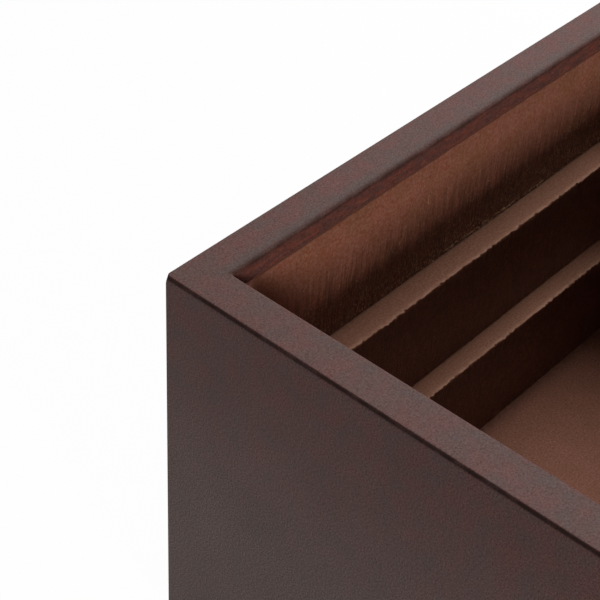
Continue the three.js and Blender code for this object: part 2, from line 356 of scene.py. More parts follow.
# %% [markdown]
# ## Finishes
# Every finish is built from noise in the piece's own Object coordinates, so it stays put when the
# camera or the piece moves. Colours are written as they look on a screen, 0 to 255.

# %% Helpers for finishes
def paint(red, green, blue):
    """A screen colour as the linear values that Blender works in."""
    def linear(value):
        value /= 255
        return value / 12.92 if value <= 0.04045 else ((value + 0.055) / 1.055) ** 2.4
    return (linear(red), linear(green), linear(blue), 1.0)


def start_finish(name, roughness, gloss=0.5, metal=0.0):
    """A material with its shader, and its Object coordinates as a feed."""
    finish = bpy.data.materials.new(name)
    finish.use_nodes = True
    tree = finish.node_tree
    shader = tree.nodes["Principled BSDF"]
    shader.inputs["Roughness"].default_value = roughness
    shader.inputs["Specular IOR Level"].default_value = gloss
    shader.inputs["Metallic"].default_value = metal
    spot = add(tree, "ShaderNodeTexCoord", out=3)
    return finish, tree, shader, spot


def stretched(tree, spot, x, y, z):
    """Coordinates for a pattern whose grain is this many metres long on each axis."""
    return vector(tree, "DIVIDE", spot, (x, y, z))


def noise(tree, place, scale=1.0, detail=2.0, roughness=0.5):
    """Cloudy values about one half."""
    return add(tree, "ShaderNodeTexNoise", {
        "Vector": place, "Scale": scale, "Detail": detail, "Roughness": roughness}, noise_dimensions="3D")


def between(tree, value, low, high, to_low=0.0, to_high=1.0):
    """Values from low to high spread over another range, and held at its ends."""
    return add(tree, "ShaderNodeMapRange", {
        "Value": value, "From Min": low, "From Max": high, "To Min": to_low, "To Max": to_high})


def blend(tree, share, first, second):
    """A colour between two colours."""
    return add(tree, "ShaderNodeMix", (share, first, second), data_type="RGBA")


def tint(tree, colour, factor):
    """A colour made lighter or darker by a number."""
    return vector(tree, "SCALE", colour, factor)


def speckle(tree, colour, place, scale, swings, amount):
    """A colour broken up by fine grain. Its red, green and blue each swing by their own share."""
    grain = noise(tree, place, scale, detail=4, roughness=0.8)
    swing = product(tree, between(tree, grain, 0.3, 0.7, -1.0, 1.0), amount)
    factors = vector(tree, "MULTIPLY_ADD", swings, point(tree, swing, swing, swing), (1.0, 1.0, 1.0))
    return vector(tree, "MULTIPLY", colour, factors)


def spots(tree, place, scale, whole, gone, chosen):
    """Small round spots, solid out to one share of a cell and gone at another, only where chosen."""
    cells = add(tree, "ShaderNodeTexVoronoi", {"Vector": place, "Scale": scale}, voronoi_dimensions="3D")
    return product(tree, between(tree, cells, whole, gone, 1.0, 0.0), chosen)


def emboss(tree, shader, height, depth):
    """Raises the surface's shading by a pattern, depth in metres."""
    bump = add(tree, "ShaderNodeBump", {"Distance": depth, "Height": height})
    tree.links.new(bump, shader.inputs["Normal"])


print("Finish helpers are ready.")

# %% [markdown]
# ### Shell coating
# The shell is coated in a dark brown with a grey, chalky bloom on its flat faces. The lip has no
# bloom and shows the plain maroon. The edges are darker still, partly worn by handling and partly
# painted shade where the rounded edges turn away from the light. One noise can't know where the edges
# are, so the sheet carries weights for this: "bloom", one for the dark edges, "chalk" for the greyest
# strip of the rim, "wall" for the plumb faces and one for their paler foot, which is painted light
# that the white floor throws up. The walls are painted a little darker than the rim, as painted
# shade, and slow clouds about a hand wide lie over them. Soft patches a few centimetres wide, a fine
# sandy grain and a few pin-holes make up the rest.

# %% Mix the shell coating
BLOOM_WARM = paint(94, 61, 57)
BLOOM_GREY = paint(83, 63, 59)
CHALK = paint(80, 64, 60)
FLOOR_LIT_PALE = paint(104, 88, 84)
PLAIN = paint(70, 43, 38)
PLAIN_RED = paint(92, 49, 40)
WORN_AND_SHADED = paint(32, 13, 6)
PIN_HOLE = paint(36, 25, 22)
SAND_SCALE = 470
SAND_SWINGS = (0.8, 1.25, 1.28)
SAND_DEPTH = 0.00015


def weight_of(tree, name):
    """A weight that the mesh carries."""
    return add(tree, "ShaderNodeAttribute", attribute_name=name, out=2)


def mix_shell_coating():
    """Bloom, chalk and painted floor light on the flat faces, plain maroon on the lip, then wear and
    painted shade, sand and pin-holes.
    """
    finish, tree, shader, spot = start_finish("shell_coating", roughness=0.62, gloss=0.16)
    patches = noise(tree, spot, scale=34, detail=5, roughness=0.6)
    flat = blend(tree, between(tree, patches, 0.36, 0.64), BLOOM_WARM, BLOOM_GREY)
    chalky = product(tree, weight_of(tree, "chalk"), between(tree, patches, 0.35, 0.6, 0.6, 1.0))
    flat = blend(tree, chalky, flat, CHALK)
    # Painted light: the foot of the plumb walls made paler, as the white floor lights it.
    flat = blend(tree, weight_of(tree, "dust"), flat, FLOOR_LIT_PALE)
    blotches = noise(tree, stretched(tree, spot, 0.028, 0.028, 0.006), detail=3)
    plain = blend(tree, between(tree, blotches, 0.4, 0.64), PLAIN, PLAIN_RED)
    colour = blend(tree, weight_of(tree, "bloom"), plain, flat)
    patchy = between(tree, noise(tree, spot, scale=55, detail=3), 0.35, 0.6, 0.62, 1.0)
    # Wear and painted shade: the edges darkened where they turn away from the light.
    colour = blend(tree, product(tree, weight_of(tree, "worn"), patchy), colour, WORN_AND_SHADED)
    # Painted shade: the plumb walls made darker than the rim, under slow clouds.
    clouds = noise(tree, spot, scale=10, detail=6, roughness=0.7)
    clouded_shade = between(tree, clouds, 0.3, 0.7, 0.74, 0.89)
    colour = tint(tree, colour, between(tree, weight_of(tree, "wall"), 0.0, 1.0, 1.0, clouded_shade))
    sandy = between(tree, weight_of(tree, "wall"), 0.0, 1.0, 0.7, 1.0)
    colour = speckle(tree, colour, spot, SAND_SCALE, SAND_SWINGS, sandy)
    pitted = between(tree, noise(tree, spot, scale=70, detail=1), 0.5, 0.62)
    holes = spots(tree, spot, 210, 0.14, 0.28, pitted)
    colour = blend(tree, product(tree, holes, 0.4), colour, PIN_HOLE)
    tree.links.new(colour, shader.inputs["Base Color"])
    tree.links.new(between(tree, weight_of(tree, "worn"), 0.0, 1.0, 0.62, 0.95), shader.inputs["Roughness"])
    grain = noise(tree, spot, scale=320, detail=4, roughness=0.75)
    emboss(tree, shader, calc(tree, "SUBTRACT", grain, product(tree, holes, 1.2)), SAND_DEPTH)
    return finish


SHELL_COATING = mix_shell_coating()
print("Shell coating mixed.")

# %% [markdown]
# ### Tub resin
# The tub is laminated by hand: glass fibre wetted with brown resin, and brushed down the walls.
# The brush leaves fine upright streaks, so one noise is stretched along Z, and their colour swings
# also paint the glints of light on their ridges. The resin is thick at the foot of the upper wall and
# all over the lower ones, and coarser and more blotched there. These parts are also painted darker,
# as painted shade, since they lie deep in the tub and under the ledges. The creases are darker,
# partly pooled resin and partly painted shade, with a painted shadow in the crack of the upper one.
# The ledges are a little paler, and their edges carry a painted highlight. Where the tub meets the
# lip, resin of the lip's own colour is squeezed out, and a redder web fills the corner. Each of these
# is a layer laid over the last, and a weight of the sheet says where it goes.

# %% Mix the tub resin
RESIN_WARM = paint(117, 72, 57)
RESIN_OLIVE = paint(110, 69, 51)
RESIN_PALE = paint(136, 97, 73)
RESIN_POOLED_SHADE = paint(80, 49, 37)
BONDING = paint(76, 45, 35)
WEB_RED = paint(88, 42, 29)
GAP_SHADOW = paint(44, 24, 16)
ARRIS_HIGHLIGHT = paint(156, 116, 94)
FLECK = paint(160, 118, 88)
RESIN_GRAIN = 320
RESIN_SWINGS = (0.3, 0.66, 1.0)
BRUSH_DEPTH = 0.0004


def mix_tub_resin():
    """Brushed resin, then everything that lies on it or shows through it."""
    finish, tree, shader, spot = start_finish("brushed_resin", roughness=0.45, gloss=0.29)
    clouds = noise(tree, spot, scale=26, detail=3)
    streaks = noise(tree, stretched(tree, spot, 0.0023, 0.0023, 0.035), detail=3)
    edge, nook, thick, ledge, gap, web = (
        weight_of(tree, name) for name in ("arris", "crease", "thick", "ledge", "gap", "web"))

    # The bare wall: soft patches, brush streaks partly painted as highlight, grain, blotches, and painted
    # shade low in the tub
    streak = product(tree, calc(tree, "SUBTRACT", streaks, 0.5), weight_of(tree, "riser"))
    combed = product(tree, streak, weight_of(tree, "comb"))
    colour = blend(tree, between(tree, clouds, 0.35, 0.65), RESIN_WARM, RESIN_OLIVE)
    # Brush streaks in the resin, partly painted highlight: their colour swings, strongest where combed,
    # stand in for glints on the ridges.
    colour = tint(tree, colour, between(tree, streak, -0.25, 0.25, 0.9, 1.1))
    colour = tint(tree, colour, between(tree, combed, -0.13, 0.13, 0.62, 1.38))
    coarse = total(tree, between(tree, thick, 0.3, 1.1, 1.0, 2.0), product(tree, ledge, 0.8))
    colour = speckle(tree, colour, spot, RESIN_GRAIN, RESIN_SWINGS, coarse)
    blotches = noise(tree, spot, scale=75, detail=4, roughness=0.6)
    blotched = product(tree, between(tree, blotches, 0.3, 0.7, -0.3, 0.3), between(tree, thick, 0.9, 1.05))
    colour = tint(tree, colour, total(tree, blotched, 1.0))
    # Painted shade: the foot of the upper wall and the lower walls, most of all their tops under the
    # ledges, are darkened.
    colour = tint(tree, colour, between(tree, thick, 0.0, 2.0, 1.0, 0.36))
    flecked = between(tree, noise(tree, spot, scale=60, detail=2), 0.5, 0.7)
    flecks = spots(tree, spot, 300, 0.12, 0.3, flecked)
    colour = blend(tree, product(tree, flecks, 0.55), colour, FLECK)

    # Ledges, edges with a painted highlight, creases with painted shade, a painted shadow in the crack, the
    # joint under the lip and the web
    colour = blend(tree, product(tree, ledge, 0.4), colour, RESIN_PALE)
    # Painted highlight along the ledges' edges.
    thin = product(tree, edge, between(tree, noise(tree, spot, scale=110), 0.35, 0.65, 0.3, 1.0))
    colour = blend(tree, thin, colour, ARRIS_HIGHLIGHT)
    # Pooled resin and painted shade: the creases darkened.
    pooled_and_shaded = product(tree, nook, between(tree, noise(tree, spot, scale=120), 0.4, 0.6, 0.45, 1.0))
    colour = blend(tree, pooled_and_shaded, colour, RESIN_POOLED_SHADE)
    # Painted shadow in the crack at the foot of the upper wall.
    gap_shadow = product(tree, gap, between(tree, noise(tree, spot, scale=190), 0.36, 0.5))
    colour = blend(tree, gap_shadow, colour, GAP_SHADOW)
    ragged = between(tree, noise(tree, spot, scale=45), 0.3, 0.7, -0.12, 0.12)
    squeezed = between(tree, total(tree, weight_of(tree, "seam"), ragged), 0.35, 0.75)
    colour = blend(tree, squeezed, colour, BONDING)
    colour = blend(tree, web, colour, WEB_RED)
    tree.links.new(colour, shader.inputs["Base Color"])

    # Half gloss on the walls, matt wherever the brush didn't smooth the resin
    matt = highest(tree, edge, nook, gap, product(tree, ledge, 2.0), web)
    tree.links.new(between(tree, matt, 0.0, 0.6, 0.45, 0.8), shader.inputs["Roughness"])
    orange_peel = noise(tree, spot, scale=240, detail=3)
    relief = total(tree, product(tree, streak, 0.7), combed, product(tree, orange_peel, 0.5))
    emboss(tree, shader, relief, BRUSH_DEPTH)
    return finish


TUB_RESIN = mix_tub_resin()
print("Tub resin mixed.")

# %% [markdown]
# ### Fibre strands, board, rubber, drain plastic and screw steel
# The strands are glass fibre that the resin only half wets, so they stay pale. The other finishes
# are seldom seen, but each still has its own grain and depth of relief. They all follow one recipe,
# so one function mixes them.

# %% Mix the other finishes
def mix_simple(name, dark, pale, grain, depth, roughness, gloss=0.5, metal=0.0, stretch=(1, 1, 1)):
    """A finish whose colour and relief follow one noise, with a slower one over it."""
    finish, tree, shader, spot = start_finish(name, roughness, gloss, metal)
    fine = noise(tree, stretched(tree, spot, *(grain * s for s in stretch)), detail=3)
    slow = noise(tree, stretched(tree, spot, *(12 * grain * s for s in stretch)), detail=2)
    share = between(tree, total(tree, fine, slow), 0.75, 1.25)
    tree.links.new(blend(tree, share, dark, pale), shader.inputs["Base Color"])
    tree.links.new(between(tree, slow, 0.3, 0.7, roughness * 0.85, min(1.0, roughness * 1.15)),
                   shader.inputs["Roughness"])
    emboss(tree, shader, fine, depth)
    return finish


FIBRE = mix_simple("half_wetted_fibre", paint(124, 94, 68), paint(196, 164, 128), 0.004, 0.00005, 0.5, 0.3)
CRUMBS = mix_simple("clotted_resin", paint(104, 70, 46), paint(184, 138, 98), 0.003, 0.00005, 0.7, 0.3)
WET_FIBRE = mix_simple("wetted_fibre", paint(104, 74, 50), paint(186, 146, 108), 0.004, 0.00005, 0.6, 0.3)
BASE_BOARD = mix_simple("moulded_board", paint(44, 38, 34), paint(66, 58, 53), 0.003, 0.0002, 0.75, 0.3)
RUBBER = mix_simple("black_rubber", paint(20, 20, 20), paint(38, 38, 38), 0.0012, 0.00008, 0.8, 0.3)
DRAIN_PLASTIC = mix_simple(
    "dark_drain_plastic", paint(46, 46, 47), paint(60, 60, 61), 0.0008, 0.00003, 0.45)
STEEL = mix_simple("stainless_steel", paint(150, 150, 148), paint(200, 200, 198), 0.0006, 0.00002, 0.32,
                   metal=1.0, stretch=(6, 1, 1))
print("Fibre, board, rubber, plastic and steel mixed.")

# %% [markdown]
# ## Outer shell
# Four plumb walls, a flat rim 50 mm wide and a lip turned down inside it, all moulded in one. The
# section runs up the outside, over the rim, down the lip, back under the rim and down the inner
# face to the bottom flange. The rim meets the plumb face over a bevel 8 mm high and 0.6 mm deep. The
# upright corner is nearly sharp below and opens out to 5 mm at the rim, and the rows can say so,
# because each has a corner radius of its own.

# %% Draw the shell's section
RIM = 50
LIP = 25
TOP = HEIGHT / MM
SKIN = 10
LIP_BACK = RIM - SKIN
UPRIGHT_CORNER = 1.3
SHELL_FOOT = 10
FOOT_EDGE = SHELL_FOOT + 4
FLANGE_REACH, FLANGE_TOP, FLANGE_UNDERSIDE = 35, 30.3, 22.3

shell_section = (
    Section(0, FOOT_EDGE, UPRIGHT_CORNER)
    .line(0, TOP - 12, UPRIGHT_CORNER, 24)
    .bow((0, TOP - 8.5), 0.3, TOP - 5.6, 3.4)
    .line(0.6, TOP - 1.5, 4.8, 5)
    .bow((0.7, TOP - 0.1), 1.9, TOP - 0.05, 5, 5)
    .line(6, TOP, 5, 3)
    .line(11, TOP, 5, 2)
    .line(RIM - 12, TOP, 3, 4)
    .line(RIM - 2.6, TOP, 3, 6)
    .round(RIM, TOP - 2.6, 3, "level", 8)
    .line(RIM, TOP - LIP + 1.2, 3, 5)
    .round(RIM - 1.2, TOP - LIP, 4, "upright", 3)
    .line(LIP_BACK + 1, TOP - LIP, 12)
    .round(LIP_BACK, TOP - LIP + 1, 13, "level", 2)
    .line(LIP_BACK, TOP - SKIN, 13)
    .line(SKIN, TOP - SKIN, 6)
    .line(SKIN, FLANGE_TOP, 6, 4)
    .line(FLANGE_REACH, FLANGE_TOP, 4)
    .line(FLANGE_REACH, FLANGE_UNDERSIDE, 4)
    .line(SKIN, FLANGE_UNDERSIDE, 6)
    .line(SKIN, SHELL_FOOT, 6)
    .line(3, SHELL_FOOT, 0.5)
    .round(0, FOOT_EDGE, UPRIGHT_CORNER, "level", 5)
)
shell_rows = np.array(shell_section.rows[:-1])
print(f"The shell's section has {len(shell_rows)} rows.")

# %% [markdown]
# ### Where the shell is worn, and where shade and light are painted
# Weights on the sheet tell the coating where it is. Those that follow the section are worked out for
# each row, mostly as a bell round a point or height of the section. The inner edge carries a thin
# dark line, wear and painted shade, on the long sides but not on the short ones, and the rim's chalky
# strip is weaker on the short sides, so these two follow the columns as well as the rows. The edges
# are darker from wear and from painted shade, and the walls' paler foot is painted light from the
# white floor.

# %% Weigh the shell and sweep it
def bell(distance, reach):
    """A weight of 1 at no distance, falling off over the reach."""
    return np.exp(-(distance / reach) ** 2)


def away_from(rows, inset, height):
    """How far each row is from a point of the section, in millimetres."""
    return np.hypot(rows[:, 0] - inset, rows[:, 1] - height)


def flat_bell(distance, reach):
    """A weight that stays near 1 and then falls off quickly about the reach."""
    return 0.5 ** ((distance / reach) ** 4)


FLOOR_LIGHT_STARTS, FLOOR_LIGHT_FADES_IN = 60, 260
shell_insets, shell_heights = shell_rows[:, 0], shell_rows[:, 1]
outer_edge = flat_bell(shell_heights - (TOP - 3.2), 2.9) * (shell_insets < 1.2)
lower_edge = flat_bell(away_from(shell_rows, 1, SHELL_FOOT + 1), 3.0)
inner_edge = bell(away_from(shell_rows, RIM - 0.5, TOP - 1), 4.2)
on_lip = (np.abs(shell_insets - RIM) < 1.5) & (shell_heights < TOP - 1.5)
bloom = np.where(on_lip, 0.0, 1.0)
chalk = bell(shell_insets - (RIM - 9), 6.0) * (shell_heights > TOP - 2)
wall = ((shell_insets < 0.5) & (shell_heights > FOOT_EDGE)).astype(float)
# Painted light: the walls paler towards the ground, as the white floor lights them.
dust = 0.8 * np.clip((TOP - FLOOR_LIGHT_STARTS - shell_heights) / FLOOR_LIGHT_FADES_IN, 0, 1) * (shell_insets < 2)

shell_columns = columns(120, 72, 8)
long_side = np.abs(shell_columns[1][:, 1]) ** 2
at_corner = 1 - np.abs(shell_columns[1]).max(axis=1) ** 12
# Wear and painted shade: rounded edges and upright corners darkened, the rim's inner edge only on the long
# sides.
edges = np.maximum(outer_edge, lower_edge)[:, None] + 0.8 * inner_edge[:, None] * long_side
worn = np.maximum(edges, 0.8 * wall[:, None] * at_corner)
chalk = chalk[:, None] * (0.5 + 0.5 * long_side)
shell_weights = {"bloom": bloom, "chalk": chalk, "dust": dust, "worn": worn, "wall": wall}
shell_sheet = sheet_of("shell_sheet", shell_rows, *shell_columns, shell_weights, closed=True)
run_tree(shell_sheet, SWEEP, length=LENGTH, width=WIDTH, finish=SHELL_COATING)
shell_skin = bake(shell_sheet, "shell_skin")

# %% [markdown]
# ## Stepped tub
# The tub hangs from under the lip. Its section comes up the hidden back, over the thin top edge,
# and down three risers and two ledges to the floor, and runs on to the middle of the floor, where
# the two sides meet. The corner radius is large inside and small at the top plate's outside, and
# that difference is the small web seen in each corner of the planter. A crack a millimetre deep runs
# along the foot of each riser that ends on a ledge.

# %% Draw the tub's section
UPPER_WALL, MIDDLE_WALL, LOWER_WALL = WALLS = (48, 84, 114)
UPPER_LEDGE, LOWER_LEDGE, FLOOR = WALL_FEET = (360, 206.5, 47)
UPPER_CORNER, LOWER_CORNER = 55, 30
LAMINATE, FLOOR_LAMINATE, TOP_PLATE = 7, 8, 6
JOINT = 0.3
TUB_TOP = TOP - LIP - JOINT
FILLET = 0.8
ARRIS = 1
FLAT_FLOOR = 140

# Up the hidden back
lower_back, middle_back, upper_back = (wall - LAMINATE for wall in WALLS[::-1])
tub_section = (
    Section(LOWER_WALL - 1, FLOOR - FLOOR_LAMINATE, LOWER_CORNER)
    .line(lower_back, FLOOR - 2, LOWER_CORNER + LAMINATE)
    .line(lower_back, LOWER_LEDGE - LAMINATE, LOWER_CORNER + LAMINATE)
    .line(middle_back, LOWER_LEDGE - LAMINATE, LOWER_CORNER + LAMINATE)
    .line(middle_back, UPPER_LEDGE - LAMINATE, LOWER_CORNER + LAMINATE)
    .line(upper_back, UPPER_LEDGE - LAMINATE, UPPER_CORNER + LAMINATE)
    .line(upper_back, TUB_TOP - TOP_PLATE, UPPER_CORNER + LAMINATE)
    .line(upper_back - 0.5, TUB_TOP - TOP_PLATE, 8)
    .line(upper_back - 0.5, TUB_TOP, 8)
)
BACK_ROWS = len(tub_section.rows)

# Over the top edge and down the two risers, each with its crack, its ledge and its arris
tub_section.line(UPPER_WALL - 3.5, TUB_TOP, 58, 2).round(UPPER_WALL, TUB_TOP - 3, UPPER_CORNER, "level", 5)
tub_section.line(UPPER_WALL, TUB_TOP - 7, UPPER_CORNER, 2)
for wall, foot, end, steps, corner in (
        (UPPER_WALL, UPPER_LEDGE, MIDDLE_WALL, 10, UPPER_CORNER),
        (MIDDLE_WALL, LOWER_LEDGE, LOWER_WALL, 8, LOWER_CORNER)):
    tub_section.line(wall, foot + 5, corner, steps).line(wall, foot + 0.4, corner, 2)
    tub_section.line(wall + 0.3, foot - 1.1, corner - 0.3).line(wall + 1.6, foot - 0.9, corner - 1.6)
    tub_section.line(wall + 2.2, foot, corner - 2.2).line(wall + 4, foot, corner - 3)
    tub_section.line(end - ARRIS, foot, LOWER_CORNER + 2, 6)
    tub_section.round(end, foot - ARRIS, LOWER_CORNER, "level", 4)
    tub_section.line(end, foot - 2.6, LOWER_CORNER).line(end, foot - 6, LOWER_CORNER)

# Down the last riser and over the floor to its middle
tub_section.line(LOWER_WALL, FLOOR + 5, LOWER_CORNER, 8).line(LOWER_WALL, FLOOR + FILLET, LOWER_CORNER, 2)
tub_section.round(LOWER_WALL + FILLET, FLOOR, LOWER_CORNER - 1, "upright", 3)
tub_section.line(FLAT_FLOOR, FLOOR, 0, 2).line(WIDTH / MM / 2, FLOOR, 0, 4)
tub_rows = np.array(tub_section.rows)
print(f"The tub's section has {len(tub_rows)} rows.")

# %% [markdown]
# ### Made by hand, so never quite true
# The ledges' edges wander and are nicked by about a millimetre, more in some stretches than in
# others. Resin gathers in the creases, in small lumps and in slow heaps, and the walls wave a little.
# A second tree adds this, weighted so that each fault stays where it belongs. It leaves the drain
# seats and the joint under the lip alone. The same weights tell the finish and the fibre where the
# risers, ledges, edges and creases are, so they are all worked out here, first by rows.

# %% Weigh the edges, creases and ledges by rows
tub_insets, tub_heights = tub_rows[:, 0], tub_rows[:, 1]
arris = 1.2 * bell(away_from(tub_rows, MIDDLE_WALL, UPPER_LEDGE), 3.4)
arris += 1.4 * bell(away_from(tub_rows, LOWER_WALL, LOWER_LEDGE), 3.4)
creases = [bell(away_from(tub_rows, wall, foot + 1.2), 3.0) for wall, foot in zip(WALLS, WALL_FEET)]
clot = (1.3 * bell(away_from(tub_rows, UPPER_WALL - 0.5, UPPER_LEDGE + 2.2), 2.4)
        + 0.12 * creases[1] + 0.08 * creases[2])
# The gap weight marks that crack, where the finish paints a shadow.
gap = bell(away_from(tub_rows, UPPER_WALL + 0.9, UPPER_LEDGE - 0.6), 1.6)
ledge = np.zeros(len(tub_rows))
for foot, paleness in zip(WALL_FEET, (1.0, 1.0, 0.3)):
    ledge[np.abs(tub_heights - foot) < 1] = paleness
print("Edges, creases and ledges are weighed.")

# %% Weigh the risers by rows
RISER_TOPS = (530, 356, 203)
FIBRE_SHOWN = (1.0, 0.22, 0.12)


def ramp(value, at_none, at_full):
    """A weight that goes from 0 to 1 as the value goes from one bound to the other."""
    return np.clip((value - at_none) / (at_full - at_none), 0, 1)


riser, strands, thick, comb = np.zeros((4, len(tub_rows)))
for wall, foot, top, shown in zip(WALLS, WALL_FEET, RISER_TOPS, FIBRE_SHOWN):
    on_wall = (np.abs(tub_insets - wall) < 0.9) & (tub_heights > foot + 2) & (tub_heights < top)
    up = (tub_heights[on_wall] - foot) / (top - foot)
    riser[on_wall] = 1.0
    strands[on_wall] = shown * ramp(up, 0.58, 0.18) ** 1.2
    # This weight is thick resin and also painted shade: it darkens the upper wall's foot, and the lower
    # walls most at their tops, under the ledges.
    if wall == UPPER_WALL:
        comb[on_wall] = ramp(up, 0.72, 0.32)
        thick[on_wall] = ramp(up, 0.4, 0.2)
    else:
        comb[on_wall] = 0.5
        thick[on_wall] = 1 + 0.6 * ramp(up, 0.5, 0.9)
print("The risers are weighed for streaks, fibre and thick resin.")

# %% [markdown]
# ### Along the walls and round the corners
# Some weights also change along the planter. The clots, and the gap below them, are strong in some
# stretches and weak in others, a third of a metre apart. The squeezed-out resin under the lip stops
# at the corners, and the web is only in the corners.

# %% Weigh the columns and lay the tub out
STRETCH_SPACING, STRETCH_SHIFT = 0.7, 0.08
tub_columns = columns(300, 178, 10)
straight = np.abs(tub_columns[1]).max(axis=1) ** 30
along_tub = tub_columns[0][:, 0] * LENGTH / 2
stretches = 0.55 + 0.45 * np.cos(2 * math.pi * (along_tub - STRETCH_SHIFT) / STRETCH_SPACING)
seam = bell(away_from(tub_rows, UPPER_WALL - 0.5, TUB_TOP - 2.2), 3.2) * (tub_insets > upper_back + 1)
web = (tub_heights > TUB_TOP - 2.2) & (tub_insets > upper_back + 0.5)
inside = (tub_heights < TUB_TOP - 5.9) & (np.arange(len(tub_rows)) >= BACK_ROWS)
free = inside.astype(float)
# The last row lies in the middle of the floor, where both halves meet, so it stays put.
free[-1] = 0

tub_weights = {"arris": arris, "crease": sum(creases), "riser": riser, "strands": strands,
               "thick": thick, "ledge": ledge, "comb": comb}
tub_weights = {name: weight * inside for name, weight in tub_weights.items()}
tub_weights["clot"] = (clot * inside)[:, None] * stretches
tub_weights["gap"] = (gap * inside)[:, None] * (0.35 + 0.65 * stretches)
tub_weights["seam"] = seam[:, None] * straight
tub_weights["web"] = web[:, None] * (1 - straight)
tub_weights["free"] = free
tub_sheet = sheet_of("tub_sheet", tub_rows, *tub_columns, tub_weights, cap=True)
print(f"The sheet has {len(tub_sheet.data.polygons)} faces.")

# %% Make the tree for the handwork
DRAIN_SPACING = 0.4
SEAT_FADE = 0.04


def draw_handwork_tree():
    """Moves the sheet's points by slow noise, each kind by its own amount, length and weight."""
    tree, given = start_tree("hand_laid_resin", {
        "Wander": 0.0008, "Wander Length": 0.028, "Nicks": 0.0044, "Nick Length": 0.005,
        "Lumps": 0.003, "Lump Length": 0.008, "Waves": 0.0006, "Wave Length": 0.15,
        "Drain Spacing": DRAIN_SPACING, "Seat": 0.034, "Seed": 3.0})
    place = add(tree, "GeometryNodeInputPosition")

    def drift(length, number):
        """Slow noise about zero, of this length, different for each number."""
        scaled = vector(tree, "SCALE", place, calc(tree, "DIVIDE", 1.0, length))
        chosen = total(tree, given["Seed"], float(number))
        cloud = add(tree, "ShaderNodeTexNoise", {
            "Vector": scaled, "W": chosen, "Scale": 1.0, "Detail": 2.0}, noise_dimensions="4D")
        return product(tree, calc(tree, "SUBTRACT", cloud, 0.5), 2.0)

    mirrored = vector(tree, "ABSOLUTE", place)
    drain = point(tree, product(tree, given["Drain Spacing"], 0.5), 0.0, FLOOR * MM)
    off_seat = add(tree, "ShaderNodeMapRange", {
        "Value": vector(tree, "DISTANCE", mirrored, drain),
        "From Min": given["Seat"], "From Max": total(tree, given["Seat"], SEAT_FADE)})
    free = product(tree, named(tree, "free"), off_seat)
    edge, nook = named(tree, "arris"), named(tree, "crease")
    waves = [product(tree, drift(given["Wave Length"], n), given["Waves"], free) for n in (0, 1)]
    wander = [product(tree, drift(given["Wander Length"], n), given["Wander"], edge) for n in (2, 3)]
    rough = calc(tree, "MULTIPLY_ADD", drift(given["Wander Length"], 6), 1.8, 0.85)
    nicks = product(tree, drift(given["Nick Length"], 5), given["Nicks"], edge, highest(tree, rough, 0.2))
    small_lumps = highest(tree, calc(tree, "SUBTRACT", drift(given["Lump Length"], 4), 0.02), 0.0)
    slow_heaps = highest(tree, drift(given["Wander Length"], 7), 0.0)
    lumps = product(tree, total(tree, small_lumps, slow_heaps), given["Lumps"], nook)
    inward = total(tree, waves[0], wander[0], nicks, lumps)
    upward = total(tree, waves[1], product(tree, wander[1], 0.6), lumps)
    sideways = vector(tree, "SCALE", named(tree, "turn", "FLOAT_VECTOR"), product(tree, inward, -1.0))
    offset = vector(tree, "ADD", sideways, point(tree, 0.0, 0.0, upward))
    moved = add(tree, "GeometryNodeSetPosition", {"Geometry": given["Geometry"], "Offset": offset})
    return end_tree(tree, moved, given)


HANDWORK = draw_handwork_tree()
print("The handwork tree has its own named amounts and lengths.")

# %% [markdown]
# ## Turned pieces
# Tubes, plugs, feet and screws are turned, as on a lathe. For the sweep tree that is a rectangle of no
# size: only the corners are left, and the corner radius is the piece's radius. So a turning is a
# section whose rows are read as radius and height. Where two pieces meet at an angle that no section
# can show, one cuts the other, or they are joined.

# %% Helpers that turn and cut
def disc(sides):
    """The columns of a turned piece with this many sides."""
    angles = (np.arange(sides) + 0.5) * 2 * math.pi / sides
    return np.zeros((sides, 2)), np.stack([np.cos(angles), np.sin(angles)], -1)


class Turning(Section):
    """A turned piece's section: rows of radius and height."""

    def __init__(self, radius, height):
        super().__init__(0, height, radius)

    def to(self, radius, height, steps=1):
        """Straight to a radius and height."""
        return self.line(0, height, radius, steps)

    def bend(self, radius, height, sets_out, steps=4):
        """A quarter round in radius and height."""
        _, height_0, radius_0 = self.rows[-1]
        for _, across, along in quarter_round(steps, sets_out):
            height_now = height_0 + (height - height_0) * along
            self.rows.append((0, height_now, radius_0 + (radius - radius_0) * across))
        return self


def turn(name, turning, finish, sides, closed=False, **places):
    """Turns a section with this many sides, at each of the places."""
    sheet = sheet_of(name + "_sheet", turning.rows, *disc(sides), closed=closed)
    run_tree(sheet, SWEEP, finish=finish, **places)
    return sheet


def carve(holder, cutter, operation="DIFFERENCE"):
    """Cuts one piece with another, or joins it."""
    cut = holder.modifiers.new(cutter.name, "BOOLEAN")
    cut.operation = operation
    cut.solver = "EXACT"
    cut.object = cutter


print("A turning is drawn by radius and height.")

# %% [markdown]
# ## The tub, with its drain seats
# A stepped cutter sinks a seat for each drain tube's flange into the floor, and the tube's hole
# below it. The order matters: the tub is swept, then roughened by hand, and cut last, so that the
# seats stay clean.

# %% Sweep the tub and cut the drain seats
TUBE_RADIUS = 16
FLANGE_RADIUS = 26
SEAT = FLOOR - 3
PLAY = 0.3
CUT_FROM, CUT_TO = 30, FLOOR + 8
AT_THE_DRAINS = {"row_length": DRAIN_SPACING, "per_row": 2}

